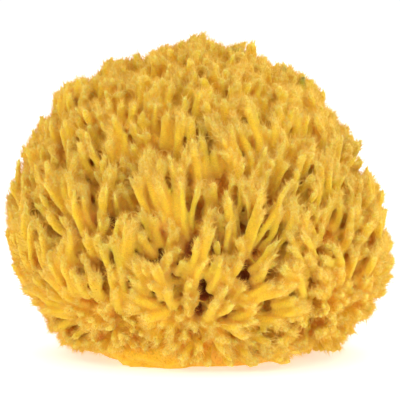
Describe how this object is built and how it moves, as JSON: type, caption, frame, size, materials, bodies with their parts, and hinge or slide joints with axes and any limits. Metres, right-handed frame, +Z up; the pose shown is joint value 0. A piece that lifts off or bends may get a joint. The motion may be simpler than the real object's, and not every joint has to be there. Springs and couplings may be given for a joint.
{
  "type": "sea sponge",
  "caption": "Dome-shaped natural wool sponge: a porous body covered in finger tufts and pits, cut off flat underneath so that it stands, for washing and display.",
  "frame": {"origin": "middle of the flat cut underneath, under the middle of the sponge's overall width and depth", "axes": "+Z up out of the cut, +X along the sponge's width, +Y along its depth to the back"},
  "size_m": [0.17, 0.16, 0.14],
  "materials": {
    "sponge_fibre": "matte"
  },
  "bodies": {
    "root": {"sponge": "sponge_fibre"}
  },
  "joints": []
}
